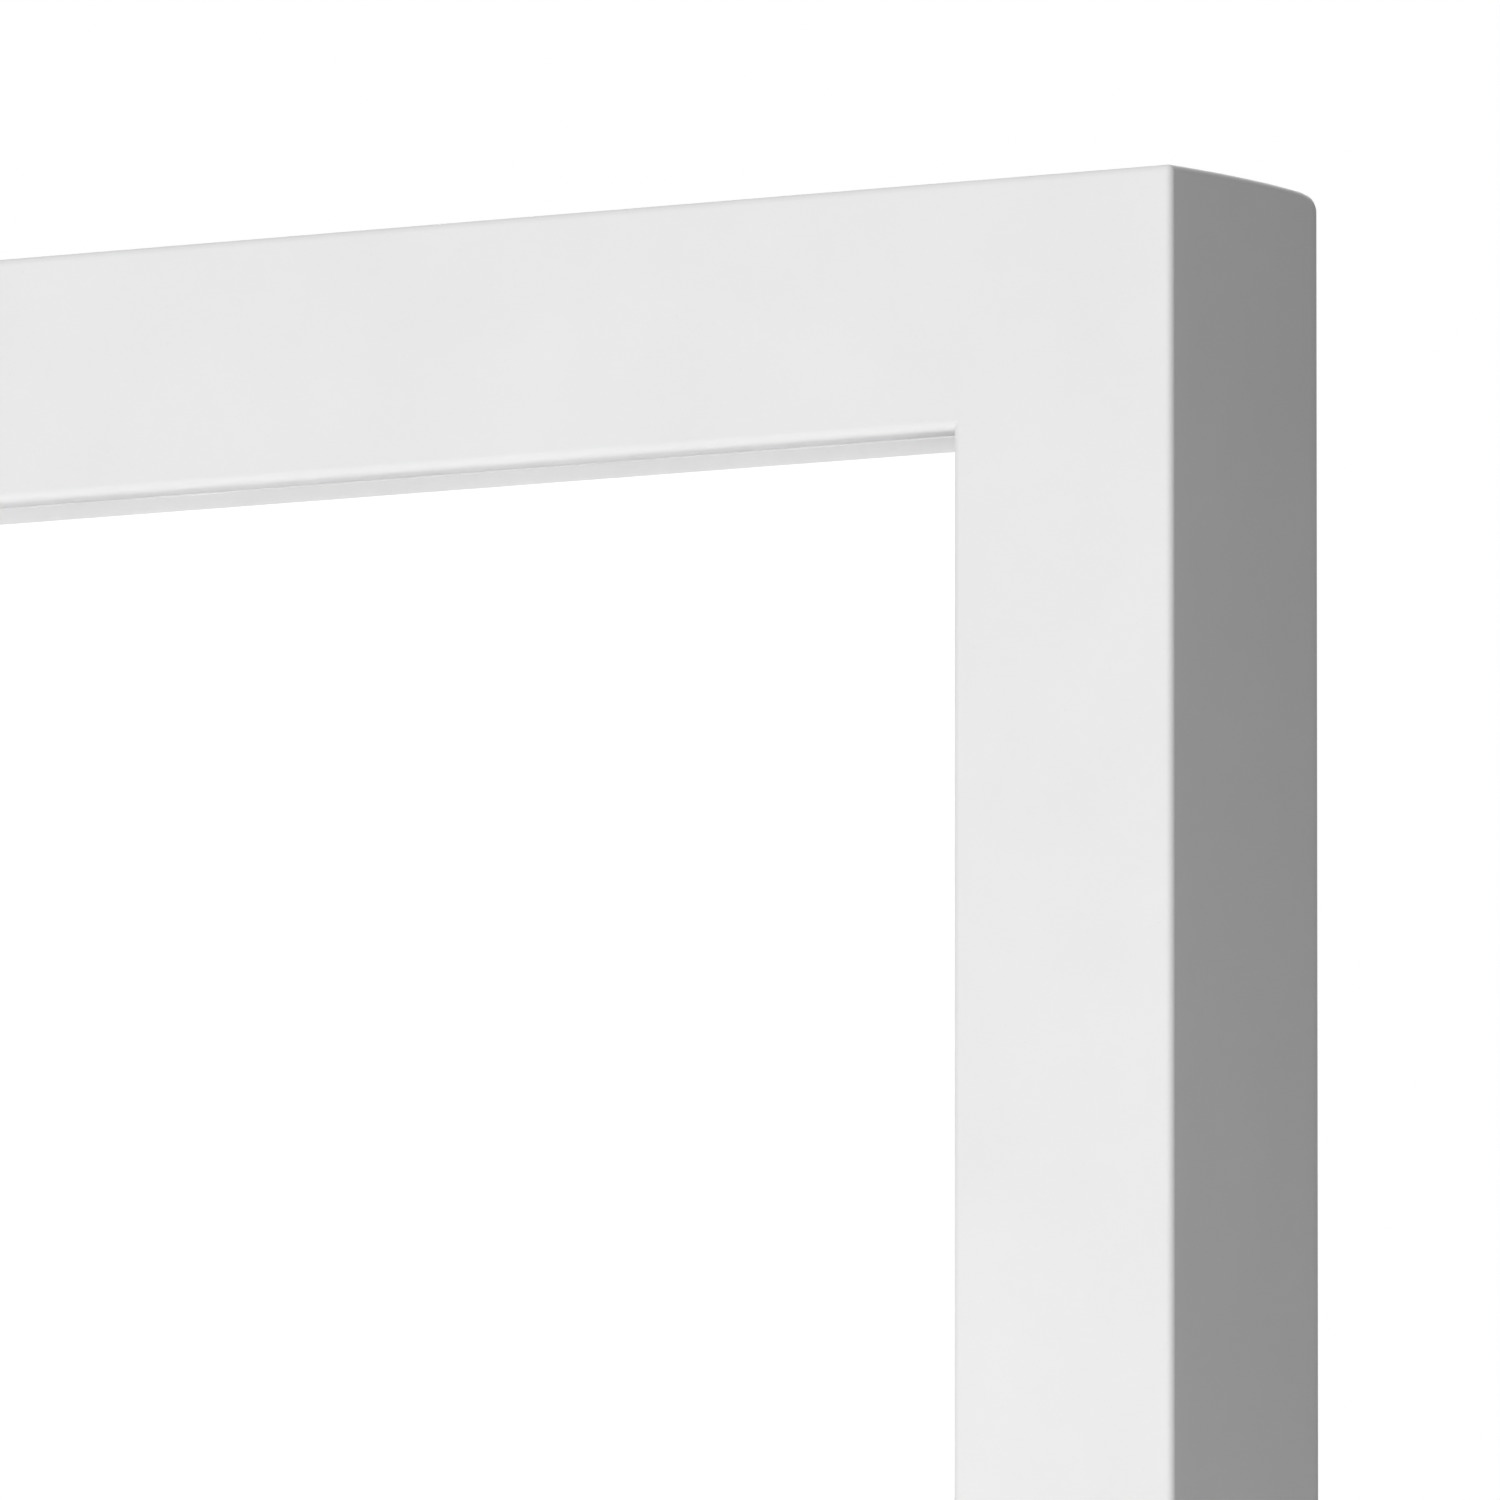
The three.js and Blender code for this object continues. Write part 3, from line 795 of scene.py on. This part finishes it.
def ring(side):
    """The D-shaped ring of round wire that the box hangs by: a straight bar and a bow below it."""
    node = f"{side}_hanger_ring"
    low, high = node_box(node)
    wire = (high.y - low.y) / 2
    middle = (low + high) / 2
    half = (high.x - low.x) / 2 - wire
    corner_x, corner_z = half - RING_BEND_RADIUS, high.z - wire - RING_BEND_RADIUS
    path = [
        *arc(0, low.z + wire + half, half, 180, 360, RING_BOW_STEPS),
        *arc(corner_x, corner_z, RING_BEND_RADIUS, 0, 90),
        *arc(-corner_x, corner_z, RING_BEND_RADIUS, 90, 180),
    ]
    rings = []
    for i, (x, z) in enumerate(path):
        before, after = path[i - 1], path[(i + 1) % len(path)]
        along = Vector((after[0] - before[0], 0, after[1] - before[1])).normalized()
        sideways = along.cross(BACKWARDS)
        centre = Vector((middle.x + x, middle.y, z))
        section = arc(0, 0, wire, 0, 360, WIRE_SEGMENTS)[:-1]
        rings.append([centre + sideways * a + BACKWARDS * b for a, b in section])
    bm = bmesh.new()
    skin(bm, rings, closed=True)
    obj = new_object(f"{side}_ring_wire", bm, ["hanger_zinc"], sharp_degrees=60)
    carried(obj, f"{side}_ring", node)


def thread_ring(centre, y, tip_y):
    """One ring of points round the screw's threaded shank."""
    taper = min(1.0, SCREW_TIP_BLUNTNESS + (y - tip_y) / SCREW_TIP_LENGTH)
    points = []
    for k in range(SCREW_SEGMENTS):
        phase = (y / SCREW_PITCH - k / SCREW_SEGMENTS) % 1.0
        ridge = max(0.0, 1 - THREAD_SHARPNESS * abs(phase - 0.5))
        radius = SCREW_RADIUS * taper * (SCREW_CORE + (1 - SCREW_CORE) * ridge)
        angle = 2 * math.pi * k / SCREW_SEGMENTS
        points.append((centre.x + radius * math.cos(angle), y, centre.z + radius * math.sin(angle)))
    return points


def cross_arm(centre, top, degrees):
    """One arm of a cross recess, narrower at its bottom."""
    angle = math.radians(degrees)
    along = Vector((math.cos(angle), 0, math.sin(angle)))
    across = along.cross(BACKWARDS)
    rings = []
    for y, (length, width) in ((top - CROSS_DEPTH, CROSS_BOTTOM), (top + CUT_MARGIN, CROSS_TOP)):
        middle = Vector((centre.x, y, centre.z))
        corners = [(-length, -width), (length, -width), (length, width), (-length, width)]
        rings.append([middle + along * a + across * b for a, b in corners])
    bm = bmesh.new()
    skin(bm, rings)
    return bm


def screw(side):
    """A pan head wood screw with a cross recess."""
    node = f"{side}_hanger_screw"
    low, high = node_box(node)
    centre = (low + high) / 2
    head_radius = (high.x - low.x) / 2
    seat = node_box(f"{side}_hanger_strap")[0].y + STRAP_THICKNESS
    places = [low.y + (seat - low.y) * i / SCREW_STEPS for i in range(SCREW_STEPS + 1)]
    rings = [thread_ring(centre, y, low.y) for y in places]
    dome = high.y - seat - HEAD_RIM
    profile = [(head_radius - HEAD_RIM, seat)]
    for a, b in arc(0, 0, 1, 0, 90, HEAD_STEPS):
        profile.append((head_radius * max(HEAD_TOP, a) ** HEAD_FULLNESS, seat + HEAD_RIM + dome * b))
    rings += lathed(centre, profile, SCREW_SEGMENTS)
    bm = bmesh.new()
    skin(bm, rings)
    cross = [cross_arm(centre, high.y, SCREW_TWISTS[side] + turn) for turn in (0, 90)]
    obj = new_object(f"{side}_screw_threaded", bm, ["hanger_zinc"], sharp_degrees=45, cuts=cross)
    carried(obj, "frame", node)


def bumper(side):
    """A stuck-on rubber foot: a thin rim and a dome with a flat crest."""
    node = f"{side}_bumper"
    low, high = node_box(node)
    radius = (high.x - low.x) / 2
    dome_radius = radius - BUMPER_RIM
    crest = dome_radius * BUMPER_CREST
    height = high.y - low.y - BUMPER_RIM
    profile = [(radius, low.y), (radius, low.y + BUMPER_RIM)]
    for a, b in arc(0, 0, 1, 0, 90, BUMPER_STEPS):
        profile.append((crest + (dome_radius - crest) * a, low.y + BUMPER_RIM + height * b))
    bm = bmesh.new()
    skin(bm, lathed((low + high) / 2, profile, BUMPER_SEGMENTS))
    obj = new_object(f"{side}_bumper_dome", bm, ["bumper_rubber"], sharp_degrees=50)
    carried(obj, "frame", node)


for side_name in ("right", "left"):
    strap(side_name)
    ring(side_name)
    screw(side_name)
    bumper(side_name)


# ---------------------------------------------------------------- stage, lights and camera

FLOOR_RADIUS = 0.75
FLOOR_FADE_START = 0.62
FLOOR_DROP = 0.5 * MM
FLOOR_SEGMENTS = 128
WHITE = (1, 1, 1, 1)


def floor():
    """A pale round floor that fades out into the backdrop. Light passes up through it."""
    bm = bmesh.new()
    bmesh.ops.create_circle(bm, cap_ends=True, segments=FLOOR_SEGMENTS, radius=FLOOR_RADIUS)
    bmesh.ops.translate(bm, verts=bm.verts, vec=(0, 0, CAD_BOX[0][2] - FLOOR_DROP))
    mesh = bpy.data.meshes.new("floor")
    bm.to_mesh(mesh)
    bm.free()
    t = Tree("floor")
    t.set("Base Color", grey(0.86))
    t.set("Roughness", 0.9)
    distance = t.add("ShaderNodeVectorMath", operation="LENGTH")
    t.link(t.coords, distance.inputs[0])
    fade = t.span(distance.outputs["Value"], 1.0, 0.0, FLOOR_RADIUS * FLOOR_FADE_START, FLOOR_RADIUS)
    t.set("Alpha", fade)
    mesh.materials.append(t.material)
    obj = bpy.data.objects.new("floor", mesh)
    obj.visible_shadow = False
    bpy.context.scene.collection.objects.link(obj)


def softbox(name, azimuth, elevation, distance, size, watts):
    """A round area light, aimed at the frame's middle. Azimuth 0 is in front and 90 is to the right."""
    light = bpy.data.lights.new(name, "AREA")
    light.shape = "DISK"
    light.size = size
    light.energy = watts
    obj = bpy.data.objects.new(name, light)
    obj.visible_camera = False
    bpy.context.scene.collection.objects.link(obj)
    az, el = math.radians(azimuth), math.radians(elevation)
    towards = Vector((math.sin(az) * math.cos(el), -math.cos(az) * math.cos(el), math.sin(el)))
    obj.location = MIDDLE + towards * distance
    obj.rotation_euler = (-towards).to_track_quat("-Z", "Y").to_euler()


def backdrop(brightness, ambient):
    """White to the eye, also through the pane, and a dimmer even light for the object."""
    world = bpy.data.worlds.new("backdrop")
    world.use_nodes = True
    nodes, links = world.node_tree.nodes, world.node_tree.links
    seen = nodes["Background"]
    seen.inputs["Color"].default_value = WHITE
    seen.inputs["Strength"].default_value = brightness
    lit = nodes.new("ShaderNodeBackground")
    lit.inputs["Color"].default_value = WHITE
    lit.inputs["Strength"].default_value = ambient
    path = nodes.new("ShaderNodeLightPath")
    looking = nodes.new("ShaderNodeMath")
    looking.operation = "MAXIMUM"
    links.new(path.outputs["Is Camera Ray"], looking.inputs[0])
    links.new(path.outputs["Is Transmission Ray"], looking.inputs[1])
    both = nodes.new("ShaderNodeMixShader")
    links.new(looking.outputs[0], both.inputs["Fac"])
    links.new(lit.outputs["Background"], both.inputs[1])
    links.new(seen.outputs["Background"], both.inputs[2])
    links.new(both.outputs["Shader"], nodes["World Output"].inputs["Surface"])
    bpy.context.scene.world = world


def camera():
    """The photograph's viewpoint, placed from the frame's upper right front corner."""
    data = bpy.data.cameras.new("camera")
    data.sensor_width = SENSOR_WIDTH
    data.lens = CAMERA_LENS
    data.clip_end = 100.0
    obj = bpy.data.objects.new("camera", data)
    bpy.context.scene.collection.objects.link(obj)
    turn = Matrix.Rotation(math.radians(CAMERA_AZIMUTH), 3, "Z")
    tilt = Matrix.Rotation(math.radians(90 - CAMERA_ELEVATION), 3, "X")
    roll = Matrix.Rotation(math.radians(CAMERA_ROLL), 3, "Z")
    facing = turn @ tilt @ roll
    corner = Vector((SIGHT_HALF_WIDTH + FACE_WIDTH, FRONT, MIDDLE.z + SIGHT_HALF_HEIGHT + FACE_WIDTH))
    offset = facing @ Vector((AIM_LEFT, AIM_BELOW, -CAMERA_DISTANCE))
    obj.location = corner - offset
    obj.rotation_euler = facing.to_euler()
    bpy.context.scene.camera = obj


floor()
camera()

# The key is nearly square on to the face. It's a little low, so that the top rail throws no shadow on the
# board and the wall under it is lit.
backdrop(brightness=1.0, ambient=0.215)
softbox("key", azimuth=1.6, elevation=-6.5, distance=4.5, size=1.6, watts=161)
softbox("under", azimuth=0, elevation=-80, distance=2.0, size=1.0, watts=4)
softbox("overhead", azimuth=180, elevation=84, distance=2.0, size=1.4, watts=16)
softbox("back_fill", azimuth=200, elevation=30, distance=2.4, size=1.2, watts=24)
bpy.context.scene.view_settings.view_transform = "Standard"
bpy.context.scene.view_settings.look = "None"
